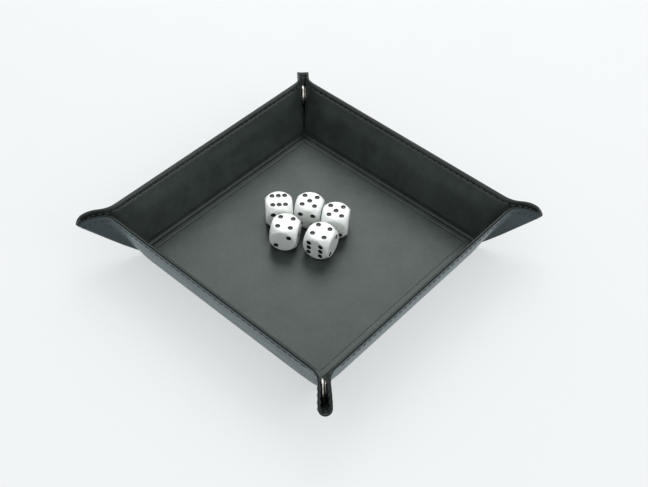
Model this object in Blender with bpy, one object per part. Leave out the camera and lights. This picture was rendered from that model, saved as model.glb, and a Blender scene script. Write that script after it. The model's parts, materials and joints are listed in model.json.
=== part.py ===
"""Snap-corner dice tray with five dice.

The tray is one square sheet: a leatherette cover outside, a leatherette liner inside and
stiff boards between them under the floor and in each wall. Each wall stands up on the
crease at the floor's edge. At each corner the spare square of the sheet is folded in half
into an ear, and a press stud holds the two halves of the ear together. With the studs
undone the tray opens out flat. The dice lie on the liner.
"""

import math

import bmesh
import bpy
import numpy as np
from mathutils import Matrix, Quaternion, Vector

MM = 0.001

# The sheet, measured as it lies flat.
BASE = 140.0 * MM  # between opposite floor creases
WALL = 35.0 * MM  # from a crease to the rim
LEAN = 20.0  # degrees that a standing wall leans outwards
SHEET_CORNER = 20.0 * MM  # radius of the sheet's four corners
SKIN = 0.8 * MM  # thickness of the cover, and of the liner
BOARD = 1.2 * MM
LAYER_GAP = 0.2 * MM  # between a skin and a board
EAR_CORE = 0.5 * MM  # between the two skins of an ear
RIM_MARGIN = 5.0 * MM  # the sewn edge, where the wall has no board
BOARD_MARGIN = 1.2 * MM  # from a board to the crease beside it
GAP = 0.3 * MM
FOLD_GAP = 0.3 * MM  # from the middle of an ear's fold to each half of it

# The ears, as angles at the floor's corner, counted from the wall's end.
EAR_BEND = 12.0  # the stretch over which an ear bends away from its wall
EAR_FOLD = 9.7  # half of the rounded fold at the bottom of an ear
FOLD_RELIEF = 2.2  # left open beside the fold, so that it turns flat clear of the ear
EAR_START = 6.0 * MM  # how near the floor's corner an ear's pieces begin
EAR_FULL = 15.0 * MM  # where the skins reach their full thickness
EDGE_STEPS = 8  # faces along an ear from its wall to its fold
FOLD_STEPS = 4
WALK_STEPS = 450  # steps in which the ear's curve is worked out
FIRST_GUESS = (4.0, -50.0)  # where the bend starts and how far it turns, before it is solved

# The press studs, one to an ear.
STUD_REACH = 26.0 * MM  # from the floor's corner to the stud's middle
STUD_ANGLE = 25.0
SOCKET_RADIUS = 5.5 * MM
SOCKET_FOOT = 3.2 * MM
SOCKET_BORE = 2.4 * MM
SOCKET_PLATE = 0.45 * MM
STUD_RADIUS = 4.6 * MM
STUD_FLANGE = 0.3 * MM
HEAD_RADIUS = 1.9 * MM
HEAD_WALL = 0.3 * MM
RIVET_RADIUS = 3.6 * MM
RIVET_THICK = 0.2 * MM
BARREL_RADIUS = 1.0 * MM
BARREL_CLEARANCE = 0.3 * MM
BARREL_RISE = 0.7 * MM  # from the liner into the socket or the stud
SNAP_GAP = 0.2 * MM  # from a liner to the press stud on it
ROUND_STEPS = 20
BALL_SEGMENTS = 32  # of a die's ball, round its middle
SOCKET_HALVES = "abaa"  # the half of each ear that holds the socket

# The dice.
DIE = 16.0 * MM
DIE_BALL = 0.675 * DIE  # radius of the ball that rounds the die's corners
PIP_PITCH = 3.7 * MM  # from a face's middle to a row of pips
PIP_RADIUS = 1.5 * MM
PIP_DEPTH = 0.55 * MM
DIE_REST = 0.03 * MM  # under a die, where it lies on the liner
DICE = (
    # name, place across, place along, turn in degrees, face on top, face in front
    ("die_back_left", -1.769 * DIE, 0.138 * DIE, 47.0, 6, 2),
    ("die_back_middle", -0.925 * DIE, 0.894 * DIE, 29.4, 5, 4),
    ("die_back_right", 0.113 * DIE, 1.175 * DIE, 33.3, 5, 3),
    ("die_front_left", -0.819 * DIE, -0.513 * DIE, 30.2, 4, 2),
    ("die_front_right", 0.4 * DIE, 0.05 * DIE, 14.5, 4, 6),
)

# What follows from them.
OPEN = math.radians(90.0 - LEAN)
HALF_STACK = BOARD / 2 + LAYER_GAP + SKIN
HALF_EAR = EAR_CORE / 2 + SKIN
CREASE = HALF_STACK * math.tan(OPEN / 2) + GAP
FLOOR_TOP = 2 * HALF_STACK
CORNER = Vector((BASE / 2, BASE / 2, HALF_STACK))
WALL_NAMES = ("right", "back", "left", "front")
CORNER_NAMES = ("back_right", "back_left", "front_left", "front_right")
ACROSS = np.array((1.0, -1.0, 0.0)) / math.sqrt(2)  # square to the plane that halves an ear

SHELL = (-HALF_STACK, -BOARD / 2 - LAYER_GAP)
CORE = (-BOARD / 2, BOARD / 2)
LINING = (BOARD / 2 + LAYER_GAP, HALF_STACK)


def start_scene():
    """Empties the scene and makes one collection for the tray and one for its cutters."""
    for old in list(bpy.data.objects):
        bpy.data.objects.remove(old, do_unlink=True)
    tray = bpy.data.collections.new("dice_tray")
    cutters = bpy.data.collections.new("cutters")
    cutters.hide_render = True
    bpy.context.scene.collection.children.link(tray)
    bpy.context.scene.collection.children.link(cutters)
    return tray, cutters


def finish(name, colour, roughness, metallic=0.0):
    material = bpy.data.materials.new(name)
    material.use_nodes = True
    shader = material.node_tree.nodes["Principled BSDF"]
    shader.inputs["Base Color"].default_value = (*colour, 1.0)
    shader.inputs["Roughness"].default_value = roughness
    shader.inputs["Metallic"].default_value = metallic
    return material


TRAY, CUTTERS = start_scene()
COVER = finish("cover_leatherette", (0.075, 0.085, 0.085), 0.5)
LINER = finish("liner_leatherette", (0.055, 0.06, 0.058), 0.6)
CARD = finish("stiff_board", (0.35, 0.29, 0.22), 0.9)
NICKEL = finish("nickel_plate", (0.72, 0.70, 0.64), 0.25, 1.0)
PLASTIC = finish("white_plastic", (0.85, 0.85, 0.83), 0.2)


def add(name, mesh, material, parent=None, cutter=False):
    """Puts a mesh in the scene. With a parent, the mesh is measured from that empty."""
    obj = bpy.data.objects.new(name, mesh)
    (CUTTERS if cutter else TRAY).objects.link(obj)
    if cutter:
        obj.hide_render = True
        obj.display_type = "WIRE"
    else:
        obj.data.materials.append(material)
    obj.parent = parent
    return obj


def hinge(name, place, turn=None, parent=None):
    """An empty on a joint's axis, at a place and turn given in the world."""
    empty = bpy.data.objects.new(name, None)
    TRAY.objects.link(empty)
    world = Matrix.Translation(place) @ (turn or Matrix.Identity(4))
    if parent:
        empty.parent = parent
        bpy.context.view_layer.update()
        empty.matrix_parent_inverse = parent.matrix_world.inverted()
    empty.matrix_basis = world
    bpy.context.view_layer.update()
    return empty


def mesh_of(name, form):
    bmesh.ops.recalc_face_normals(form, faces=form.faces)
    mesh = bpy.data.meshes.new(name)
    form.to_mesh(mesh)
    form.free()
    return mesh


def plate(name, low, high, material, parent=None, mitre=0.0):
    """A flat plate between two corners, each (x, y, z), its low edge shorter at each end."""
    size = Vector(high) - Vector(low)
    middle = (Vector(high) + Vector(low)) / 2
    form = bmesh.new()
    place = Matrix.Translation(middle) @ Matrix.Diagonal((*size, 1.0))
    bmesh.ops.create_cube(form, size=1.0, matrix=place)
    for spot in form.verts:
        if spot.co.y < middle.y:
            spot.co.x -= math.copysign(mitre, spot.co.x)
    return add(name, mesh_of(name, form), material, parent)


def quarter_turn(corner):
    return Matrix.Rotation(corner * math.pi / 2, 4, "Z")


def floor():
    inner = BASE / 2 - CREASE
    board = inner - BOARD_MARGIN
    for name, half, (low, high), material in (
        ("floor_cover", inner, SHELL, COVER),
        ("floor_board", board, CORE, CARD),
        ("floor_liner", inner, LINING, LINER),
    ):
        bottom = (-half, -half, HALF_STACK + low)
        plate(name, bottom, (half, half, HALF_STACK + high), material)


def wall(side):
    """One wall's plates, on an empty whose X runs along the crease and Y up the wall."""
    along = Vector((0.0, -1.0, 0.0))
    up = Vector((math.cos(OPEN), 0.0, math.sin(OPEN)))
    inward = Vector((-math.sin(OPEN), 0.0, math.cos(OPEN)))
    turn = Matrix((along, up, inward)).transposed().to_4x4()
    crease = quarter_turn(side) @ Vector((BASE / 2, 0.0, HALF_STACK))
    name = WALL_NAMES[side]
    empty = hinge(f"{name}_crease", crease, quarter_turn(side) @ turn)
    half = BASE / 2 - GAP / 2
    board = half - BOARD_MARGIN
    for layer, reach, (start, end), (low, high), material in (
        ("cover", half, (CREASE, WALL), SHELL, COVER),
        ("board", board, (CREASE + BOARD_MARGIN, WALL - RIM_MARGIN), CORE, CARD),
        ("liner", half, (CREASE, WALL), LINING, LINER),
    ):
        label = f"{name}_wall_{layer}"
        # Near the floor the inside of one wall comes round to the inside of the next.
        mitre = max(0.0, high * math.sin(OPEN) - start * math.cos(OPEN) + GAP / 2)
        plate(label, (-reach, start, low), (reach, end, high), material, empty, mitre)
    return empty


# An ear is part of a cone with its point at the floor's corner: every straight line on the
# sheet through that corner stays straight when the ear is folded. So the folded shape is a
# curve on a unit sphere, walked in small steps. Its frame is the line's direction, the way
# along the sheet, and the sheet's inner normal.
def turned(frame, bend, step):
    direction, along, normal = frame
    spin = Vector(normal + bend * direction) * step
    return Quaternion(spin.normalized(), spin.length).to_matrix() @ Matrix(frame).transposed()


def walk(bend_start, bend_total):
    """Frames from the wall's end to the ear's fold, one for each step of 45 degrees."""
    step = math.pi / 4 / WALK_STEPS
    start, width = math.radians(bend_start), math.radians(EAR_BEND)
    fold = math.radians(EAR_FOLD)
    direction = np.array((math.cos(OPEN), 0.0, math.sin(OPEN)))
    along = np.array((0.0, 1.0, 0.0))
    frames = [np.array((direction, along, np.cross(direction, along)))]
    for index in range(WALK_STEPS):
        angle = (index + 0.5) * step
        bend = 0.0
        if start < angle < start + width:
            bend = bend_total / width * (1 - math.cos(2 * math.pi * (angle - start) / width))
        if angle > math.pi / 4 - fold:
            bend = math.pi / 2 / fold
        frames.append(np.array(turned(frames[-1], bend, step).transposed()))
    return frames


def ear_frames():
    """The walk whose last line lies in the ear's middle plane and meets it squarely."""

    def misses(values):
        direction, along, _ = walk(*values)[-1]
        return np.array((direction @ ACROSS, along @ np.cross(direction, ACROSS)))

    values = np.array((FIRST_GUESS[0], math.radians(FIRST_GUESS[1])))
    nudges = np.diag((1e-3, 1e-4))
    for _ in range(8):
        missed = misses(values)
        slopes = [(misses(values + nudge) - missed) / nudge.sum() for nudge in nudges]
        values = values - np.linalg.solve(np.array(slopes).T, missed)
    return walk(*values)


FRAMES = ear_frames()


def frame_at(angle):
    """The ear's frame at an angle in degrees from its wall."""
    return FRAMES[round(angle / 45.0 * WALK_STEPS)]


def edge_reach(angle):
    """From the floor's corner to the sheet's edge, along a line at this angle."""
    centre = math.sqrt(2) * (WALL - SHEET_CORNER)
    off = math.pi / 4 - math.radians(angle)
    straight = WALL / math.cos(math.radians(angle))
    if straight * math.sin(math.radians(angle)) < WALL - SHEET_CORNER:
        return straight
    return centre * math.cos(off) + math.sqrt(SHEET_CORNER**2 - (centre * math.sin(off)) ** 2)


def to_corner(points, corner, half):
    """Moves points of the back right ear's first half to another corner or to its mirror."""
    points = np.asarray(points, float)
    if half == "b":
        points = points[..., (1, 0, 2)]
    return points @ np.array(quarter_turn(corner).to_3x3()).T


def sheet(name, angles, heights, material, corner, half, parent):
    """A layer of an ear between two angles and between two heights off its middle."""
    rows = []
    for index, angle in enumerate(angles):
        direction, along, normal = frame_at(angle)
        inset = {0: GAP / 2, len(angles) - 1: -GAP / 2}.get(index, 0.0)
        if angle == 45.0:
            inset = -FOLD_GAP
        for reach in (EAR_START, EAR_FULL, edge_reach(angle)):
            taper = min(1.0, reach / EAR_FULL)
            for height in heights:
                rows.append(reach * direction + inset * along + taper * height * normal)
    grid = to_corner(rows, corner, half).reshape(len(angles), 3, 2, 3)
    form = bmesh.new()
    spots = [[[form.verts.new(spot) for spot in pair] for pair in line] for line in grid]
    for line, after in zip(spots, spots[1:]):
        for low, high in zip(range(2), range(1, 3)):
            for layer in range(2):
                form.faces.new(
                    (line[low][layer], line[high][layer], after[high][layer], after[low][layer])
                )
        for end in (0, 2):
            form.faces.new((line[end][0], line[end][1], after[end][1], after[end][0]))
    for line in (spots[0], spots[-1]):
        for low, high in zip(range(2), range(1, 3)):
            form.faces.new((line[low][0], line[low][1], line[high][1], line[high][0]))
    return add(name, mesh_of(name, form), material, parent)


def lathe(name, outline, material, place, axis, parent, steps=ROUND_STEPS):
    """A turned piece: (radius, height) points, closed into a ring unless both ends touch 0."""
    form = bmesh.new()
    spots = [form.verts.new((radius, 0.0, height)) for radius, height in outline]
    for start, end in zip(spots, spots[1:]):
        form.edges.new((start, end))
    if outline[0][0] > 0:
        form.edges.new((spots[-1], spots[0]))
    bmesh.ops.spin(
        form,
        geom=form.verts[:] + form.edges[:],
        axis=(0.0, 0.0, 1.0),
        cent=(0.0, 0.0, 0.0),
        angle=2 * math.pi,
        steps=steps,
        use_merge=True,
    )
    bmesh.ops.remove_doubles(form, verts=form.verts, dist=1e-7)
    turn = Vector(axis).to_track_quat("Z", "Y").to_matrix().to_4x4()
    bmesh.ops.transform(form, matrix=Matrix.Translation(place) @ turn, verts=form.verts)
    mesh = mesh_of(name, form)
    obj = add(name, mesh, material, parent)
    mesh.shade_smooth()
    mesh.set_sharp_from_angle(angle=math.radians(35))
    return obj


def bore(liner, radius, place, axis, parent):
    """Cuts a rivet's hole through one liner."""
    form = bmesh.new()
    turn = Vector(axis).to_track_quat("Z", "Y").to_matrix().to_4x4()
    bmesh.ops.create_cone(
        form,
        cap_ends=True,
        segments=ROUND_STEPS,
        radius1=radius,
        radius2=radius,
        depth=2 * SKIN + EAR_CORE,
        matrix=Matrix.Translation(place) @ turn,
    )
    name = f"{liner.name}_bore"
    cutter = add(name, mesh_of(name, form), None, parent, cutter=True)
    cut = liner.modifiers.new("rivet_hole", "BOOLEAN")
    cut.operation = "DIFFERENCE"
    cut.solver = "EXACT"
    cut.object = cutter


def press_stud(corner, halves):
    """The socket and its cap on one half of an ear, the stud and its post on the other.

    The two halves lean a little towards each other, so each turned piece stands off its
    liner by an amount that grows with the piece's radius.
    """
    direction, _, normal = frame_at(STUD_ANGLE)
    aside = STUD_REACH * (direction @ ACROSS)
    middle = STUD_REACH * direction - aside * ACROSS
    lean = math.acos(-normal @ ACROSS)
    face = aside - HALF_EAR / math.cos(lean)  # from the middle plane to each liner
    bore_radius = BARREL_RADIUS + BARREL_CLEARANCE
    rivet_top = -SKIN - (EAR_CORE - RIVET_THICK) / 2
    name = CORNER_NAMES[corner]

    def lift(radius):
        return SNAP_GAP + radius * math.sin(lean)

    flange_top = lift(STUD_RADIUS) + STUD_FLANGE
    socket_top = 2 * face - flange_top - GAP
    plate_top = lift(SOCKET_FOOT) + SOCKET_PLATE
    head_top = 2 * face - plate_top - GAP
    socket = (
        (bore_radius, lift(SOCKET_FOOT)),
        (SOCKET_FOOT, lift(SOCKET_FOOT)),
        (SOCKET_RADIUS, lift(SOCKET_RADIUS)),
        (SOCKET_RADIUS, socket_top - GAP),
        (SOCKET_RADIUS - GAP, socket_top),
        (SOCKET_BORE, socket_top),
        (SOCKET_BORE, plate_top),
        (bore_radius, plate_top),
    )
    stud = (
        (0.0, head_top - HEAD_WALL),
        (bore_radius, head_top - HEAD_WALL),
        (bore_radius, lift(bore_radius)),
        (STUD_RADIUS, lift(STUD_RADIUS)),
        (STUD_RADIUS, flange_top),
        (HEAD_RADIUS - HEAD_WALL / 2, flange_top),
        (HEAD_RADIUS, head_top - HEAD_WALL),
        (HEAD_RADIUS - HEAD_WALL, head_top),
        (0.0, head_top),
    )
    rivet = (
        (0.0, rivet_top - RIVET_THICK),
        (RIVET_RADIUS, rivet_top - RIVET_THICK),
        (RIVET_RADIUS, rivet_top),
        (BARREL_RADIUS, rivet_top),
        (BARREL_RADIUS, BARREL_RISE),
        (0.0, BARREL_RISE),
    )
    for half, (liner, parent) in halves.items():
        outward = to_corner(ACROSS, corner, half)
        place = Vector(to_corner(middle, corner, half) + face * outward)
        square = to_corner(normal, corner, half)
        holds_socket = half == SOCKET_HALVES[corner]
        turned_piece, label = (socket, "socket") if holds_socket else (stud, "stud")
        lathe(f"{name}_snap_{label}", turned_piece, NICKEL, place, -outward, parent)
        label = "cap" if holds_socket else "post"
        lathe(f"{name}_snap_{label}", rivet, NICKEL, place, square, parent)
        bore(liner, bore_radius, place, square, parent)


def ear(corner, creases):
    """Both halves of one corner's ear, each hinged on the end of its wall."""
    name = CORNER_NAMES[corner]
    place = quarter_turn(corner) @ CORNER
    fold_start = 45.0 - EAR_FOLD
    ear_angles = np.linspace(0.0, fold_start, EDGE_STEPS + 1)
    fold_angles = np.linspace(fold_start + FOLD_RELIEF, 45.0, FOLD_STEPS + 1)
    halves = {}
    for half, parent in zip("ab", (creases[corner], creases[(corner + 1) % 4])):
        empty = hinge(f"{name}_ear_{half}_hinge", place, parent=parent)
        label = f"{name}_ear"
        shell = (-HALF_EAR, -EAR_CORE / 2)
        lining = (EAR_CORE / 2, HALF_EAR)
        sheet(f"{label}_cover_{half}", ear_angles, shell, COVER, corner, half, empty)
        liner = sheet(f"{label}_liner_{half}", ear_angles, lining, LINER, corner, half, empty)
        fold = hinge(f"{name}_ear_{half}_fold_hinge", place, parent=empty)
        whole = (-HALF_EAR, HALF_EAR)
        sheet(f"{label}_fold_{half}", fold_angles, whole, COVER, corner, half, fold)
        halves[half] = (liner, empty)
    press_stud(corner, halves)


# A die's faces: which way each looks, and where its pips are on the two other axes.
NEAR, FAR = -PIP_PITCH, PIP_PITCH
FACES = {
    1: ((0, 1, 0), ((0, 0),)),
    2: ((1, 0, 0), ((NEAR, NEAR), (FAR, FAR))),
    3: ((0, 0, -1), ((FAR, NEAR), (0, 0), (NEAR, FAR))),
    4: ((0, 0, 1), ((NEAR, NEAR), (NEAR, FAR), (FAR, NEAR), (FAR, FAR))),
    5: ((-1, 0, 0), ((NEAR, NEAR), (NEAR, FAR), (0, 0), (FAR, NEAR), (FAR, FAR))),
    6: ((0, -1, 0), tuple((across, along) for across in (NEAR, FAR) for along in (NEAR, 0, FAR))),
}


def pip_cutter(name, parent):
    """One mesh of 21 balls, each sunk a little into a face."""
    ball = (PIP_RADIUS**2 + PIP_DEPTH**2) / (2 * PIP_DEPTH)
    height = DIE / 2 - PIP_DEPTH + ball
    form = bmesh.new()
    for facing, pips in FACES.values():
        axis = [abs(part) for part in facing].index(1)
        turn = Vector(facing).to_track_quat("Z", "Y").to_matrix().to_4x4()
        for pip in pips:
            centre = list(pip)
            centre.insert(axis, facing[axis] * height)
            place = Matrix.Translation(centre) @ turn
            bmesh.ops.create_uvsphere(
                form, u_segments=8, v_segments=8, radius=ball, matrix=place
            )
    label = f"{name}_pips"
    return add(label, mesh_of(label, form), None, parent, cutter=True)


def die_ball(name, parent):
    """The ball that a die's cube is turned inside."""
    form = bmesh.new()
    bmesh.ops.create_uvsphere(
        form, u_segments=BALL_SEGMENTS, v_segments=BALL_SEGMENTS // 2, radius=DIE_BALL
    )
    label = f"{name}_ball"
    return add(label, mesh_of(label, form), None, parent, cutter=True)


def die(name, across, along, turn, top, front):
    """A cube with ball-shaped corners and hollow pips, turned so that two of its faces look as they should."""
    up, ahead = Vector(FACES[top][0]), Vector(FACES[front][0])
    pose = Matrix((-ahead.cross(up), -ahead, up)).to_4x4()
    height = FLOOR_TOP + DIE_REST + DIE / 2
    spin = Matrix.Rotation(math.radians(turn), 4, "Z")
    place = hinge(f"{name}_place", (across, along, height), spin @ pose)
    form = bmesh.new()
    bmesh.ops.create_cube(form, size=DIE)
    body = add(name, mesh_of(name, form), PLASTIC, place)
    rounding = body.modifiers.new("rounding", "BOOLEAN")
    rounding.operation = "INTERSECT"
    rounding.solver = "EXACT"
    rounding.object = die_ball(name, place)
    pips = body.modifiers.new("pips", "BOOLEAN")
    pips.operation = "DIFFERENCE"
    pips.solver = "EXACT"
    pips.object = pip_cutter(name, place)
    body.data.shade_smooth()
    body.data.set_sharp_from_angle(angle=math.radians(40))


floor()
CREASES = [wall(side) for side in range(4)]
for number in range(4):
    ear(number, CREASES)
for row in DICE:
    die(*row)
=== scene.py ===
# %% [markdown]
# # A snap-corner dice tray with five dice
# The tray is one square sheet: a leatherette cover outside, a leatherette liner inside,
# stiff boards between them, and thread all round the edge. Each wall stands on a crease,
# and at each corner the spare square of the sheet is folded into an ear that a press stud
# holds shut. This lesson rebuilds every skin as a surface worked out with numpy, laid over
# the solid model, so that the folded tray shows its seams, edges and stitches.

# %% Load the frame
import json
import math

import bmesh
import bpy
import numpy as np
from mathutils import Matrix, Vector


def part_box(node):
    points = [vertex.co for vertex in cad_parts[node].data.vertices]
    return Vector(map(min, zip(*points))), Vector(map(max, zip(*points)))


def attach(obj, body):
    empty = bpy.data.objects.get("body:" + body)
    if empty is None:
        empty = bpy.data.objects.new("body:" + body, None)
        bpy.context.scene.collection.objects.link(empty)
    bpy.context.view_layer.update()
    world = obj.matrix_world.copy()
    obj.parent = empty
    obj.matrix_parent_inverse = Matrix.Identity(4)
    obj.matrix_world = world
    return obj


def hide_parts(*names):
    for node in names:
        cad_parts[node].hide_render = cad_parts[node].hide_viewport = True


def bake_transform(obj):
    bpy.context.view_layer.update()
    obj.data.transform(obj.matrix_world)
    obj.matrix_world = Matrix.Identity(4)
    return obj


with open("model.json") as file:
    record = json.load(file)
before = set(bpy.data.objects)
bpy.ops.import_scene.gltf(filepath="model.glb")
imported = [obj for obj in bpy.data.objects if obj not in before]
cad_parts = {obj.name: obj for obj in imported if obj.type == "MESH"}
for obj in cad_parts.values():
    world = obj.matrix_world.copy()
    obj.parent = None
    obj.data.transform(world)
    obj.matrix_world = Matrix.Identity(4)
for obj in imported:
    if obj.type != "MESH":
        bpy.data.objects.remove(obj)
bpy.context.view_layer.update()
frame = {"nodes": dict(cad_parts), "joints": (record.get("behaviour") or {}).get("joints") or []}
JOINTS = {joint["name"]: joint for joint in frame["joints"]}

# %% [markdown]
# ## Sizes
# The creases and the corners come from the hinges of the solid model. The layers are
# measured from the middle of the stack: a skin is 0.8 mm thick, a board 1.2 mm.

# %% Sizes of the sheet
MM = 0.001
HINGE = JOINTS["right_wall_fold"]["pos_m"]
HALF = HINGE[0]  # from the tray's middle to a crease
MIDDLE = HINGE[2]  # height of the middle of the floor's layers
OPEN = math.radians(JOINTS["right_wall_fold"]["range_deg"][1])
WALL = 35.0 * MM
SHEET_CORNER = 20.0 * MM
EDGE_STACK = 1.05 * MM  # half of the two skins where there is no board
EAR_THINNING = 0.3 * MM  # what the folded skins of an ear are pressed down by
BOARD_LIFT = 0.55 * MM  # what a board adds to each side
SKIN = 0.8 * MM
CREASE = 1.6 * MM  # from a crease to where the bend ends, on either side
STITCH_IN = 3.2 * MM  # from the rim to the line of stitches
STITCH_PITCH = 4.1 * MM
WALLS = ("right", "back", "left", "front")
CORNERS = ("back_right", "back_left", "front_left", "front_right")
print(f"floor {2 * HALF / MM:.0f} mm, walls open by {math.degrees(OPEN):.0f} degrees")

# %% [markdown]
# ## A small language for shaders
# A material is easier to read as sums than as a web of nodes. One class wraps a socket,
# and each operator adds its Math node. Any other node comes from one method, which takes
# the node's type, its settings and its inputs.


# %% Shader sums
class Value:
    """A socket that carries a number or a vector, with the operators used below."""

    def __init__(self, tree, socket):
        self.tree = tree
        self.socket = socket

    def node(self, kind, settings=None, inputs=None, output=0):
        """Adds a node of this type, sets it up, fills its inputs, and wraps one output."""
        made = self.tree.nodes.new(kind)
        for name, setting in (settings or {}).items():
            setattr(made, name, setting)
        for name, given in (inputs or {}).items():
            if isinstance(given, Value):
                self.tree.links.new(given.socket, made.inputs[name])
            else:
                made.inputs[name].default_value = given
        return Value(self.tree, made.outputs[output])

    def math(self, operation, first, second=0.0):
        return self.node("ShaderNodeMath", {"operation": operation}, {0: first, 1: second})

    def __add__(self, other):
        return self.math("ADD", self, other)

    def __radd__(self, other):
        return self.math("ADD", other, self)

    def __sub__(self, other):
        return self.math("SUBTRACT", self, other)

    def __rsub__(self, other):
        return self.math("SUBTRACT", other, self)

    def __mul__(self, other):
        return self.math("MULTIPLY", self, other)

    def __rmul__(self, other):
        return self.math("MULTIPLY", other, self)

    def between(self, low, high):
        """0 below low, 1 above high, smooth between them."""
        return self.node(
            "ShaderNodeMapRange",
            {"interpolation_type": "SMOOTHSTEP"},
            {"Value": self, "From Min": low, "From Max": high},
        )

    def colours(self, first, second):
        """From one colour to another as this value goes from 0 to 1.

        A colour is three numbers or a Value. A Mix node has its colours in the sockets
        numbered 6 and 7, and gives the mixed colour in the one numbered 2.
        """
        first, second = (
            colour if isinstance(colour, Value) else (*colour, 1.0)
            for colour in (first, second)
        )
        fills = {"Factor": self, 6: first, 7: second}
        return self.node("ShaderNodeMix", {"data_type": "RGBA"}, fills, 2)

    def noise(self, scale, detail=2.0, roughness=0.5):
        fills = {"Vector": self, "Scale": scale, "Detail": detail, "Roughness": roughness}
        return self.node("ShaderNodeTexNoise", None, fills)

    def cells(self, scale, feature="F1"):
        fills = {"Vector": self, "Scale": scale}
        return self.node("ShaderNodeTexVoronoi", {"feature": feature}, fills)

    def bump(self, strength, distance):
        fills = {"Height": self, "Strength": strength, "Distance": distance}
        return self.node("ShaderNodeBump", None, fills)

    def attribute(self, name):
        return self.node("ShaderNodeAttribute", {"attribute_name": name}, None, "Fac")


def finish_of(name):
    """A new material, as the shader to set up and the place on the object to start from."""
    made = bpy.data.materials.new(name)
    made.use_nodes = True
    shader = made.node_tree.nodes["Principled BSDF"]
    seed = Value(made.node_tree, None)
    place = seed.node("ShaderNodeTexCoord", None, None, "Object")
    return made, shader, place


def feed(place, shader, **links):
    """Links values to the shader's sockets; an underscore in a name stands for a space."""
    for name, value in links.items():
        place.tree.links.new(value.socket, shader.inputs[name.replace("_", " ")])


# %% [markdown]
# ## Leatherette
# Leatherette is cloth under a soft plastic face, embossed with a fine pebble grain. The
# grain is cells with soft walls, broken up by noise. Slow noise makes the face a little
# cloudy, both in colour and in gloss, as handled leatherette is. The raw rim is darker and
# duller. The stitch channel and the needle holes get painted shade, so they go dark, and
# the same masks paint shade along the creases. The cover has a faint cool sheen at a low
# angle.


# %% Leatherette
SHEEN_TINT = (0.55, 0.92, 1.0, 1.0)
PEBBLES = 1150.0  # cells to a metre


def leatherette(name, dark, light, gloss, tint, shine, sheen):
    """Pebbled leatherette between two greys, duller where the cloud noise is high.

    gloss is the roughness, tint the colour of its reflections, shine their strength.
    """
    made, shader, place = finish_of(name)
    shader.inputs["Specular Tint"].default_value = (*tint, 1.0)
    shader.inputs["Specular IOR Level"].default_value = shine
    shader.inputs["Sheen Weight"].default_value = sheen
    shader.inputs["Sheen Roughness"].default_value = 0.35
    shader.inputs["Sheen Tint"].default_value = SHEEN_TINT
    pebbles = place.cells(PEBBLES, "SMOOTH_F1")
    fine = place.noise(2600.0, 3.0, 0.6)
    cloud = place.noise(55.0, 4.0, 0.55)
    streak = place.noise(210.0, 3.0, 0.6)
    rim = place.attribute("rim")
    seam = place.attribute("seam")
    tone = 0.42 + cloud.between(0.3, 0.72) * 0.3 + streak.between(0.35, 0.75) * 0.24
    # Painted shade: the seam mask darkens the stitch channel, the floor's grooves and its board
    # line, and turns the needle holes black. The rim mask darkens the raw edge, which really is
    # darker, and along the creases it paints shade.
    tone = tone * (1.0 - seam) * (1.0 - rim * 0.25)
    rough = gloss + (cloud - 0.5) * 0.22 + (fine - 0.5) * 0.12 + rim * 0.12
    grain = pebbles * 0.75 + fine * 0.5 + streak * 0.25
    feed(
        place,
        shader,
        Base_Color=tone.colours(dark, light),
        Roughness=rough,
        Normal=grain.bump(0.32, 0.12 * MM),
    )
    return made


COVER = leatherette(
    "cover_leatherette",
    dark=(0.004, 0.006, 0.007),
    light=(0.033, 0.048, 0.053),
    gloss=0.38,
    tint=(0.86, 1.0, 1.03),
    shine=0.28,
    sheen=0.12,
)
LINER = leatherette(
    "liner_leatherette",
    dark=(0.003, 0.004, 0.004),
    light=(0.028, 0.036, 0.033),
    gloss=0.40,
    tint=(0.88, 1.0, 0.95),
    shine=0.5,
    sheen=0.0,
)

# %% [markdown]
# ## Thread, board, nickel and dice
# The thread is twisted from two strands, and slantwise lines of painted shade run round it
# where the strands meet. They follow the stitch through an attribute that counts turns
# along and around it. The thread's lighter grey between them is a painted glint; the
# thread itself is dark grey. Nickel is metal with fine turning marks. The dice are
# polished plastic that lets a little light through, with glossy black paint in the pips.
# A mask on the mesh says where the paint is.


# %% The other finishes
def thread_finish():
    made, shader, place = finish_of("sewing_thread")
    shader.inputs["Specular IOR Level"].default_value = 0.2
    twist = place.attribute("twist")
    strand = twist.node("ShaderNodeMath", {"operation": "PINGPONG"}, {0: twist, 1: 0.5})
    fuzz = place.noise(5200.0, 3.0, 0.7)
    # Painted shade and glint: dark lines where the strands meet, and a lighter grey between them
    # for the light that the thread catches.
    strand_shade_and_glint = strand.between(0.02, 0.3) * (0.55 + fuzz * 0.6)
    feed(
        place,
        shader,
        Base_Color=strand_shade_and_glint.colours((0.012, 0.014, 0.015), (0.125, 0.133, 0.133)),
        Roughness=0.6 + fuzz * 0.3,
        Normal=(strand + fuzz * 0.4).bump(0.6, 0.15 * MM),
    )
    return made


def board_finish():
    made, shader, place = finish_of("grey_board")
    fibres = place.noise(900.0, 4.0, 0.7)
    flecks = place.noise(2400.0, 2.0, 0.5).between(0.62, 0.7)
    tone = fibres * (1.0 - flecks * 0.6)
    feed(
        place,
        shader,
        Base_Color=tone.colours((0.19, 0.15, 0.11), (0.42, 0.36, 0.28)),
        Roughness=0.8 + fibres * 0.15,
        Normal=fibres.bump(0.3, 0.1 * MM),
    )
    return made


def nickel_finish():
    made, shader, place = finish_of("nickel_plate")
    marks = place.noise(1500.0, 4.0, 0.65)
    tarnish = place.noise(420.0, 3.0, 0.5).between(0.45, 0.75)
    shader.inputs["Metallic"].default_value = 1.0
    feed(
        place,
        shader,
        Base_Color=tarnish.colours((0.80, 0.78, 0.72), (0.58, 0.54, 0.46)),
        Roughness=0.26 + marks * 0.12 + tarnish * 0.12,
        Normal=marks.bump(0.08, 0.05 * MM),
    )
    return made


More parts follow.
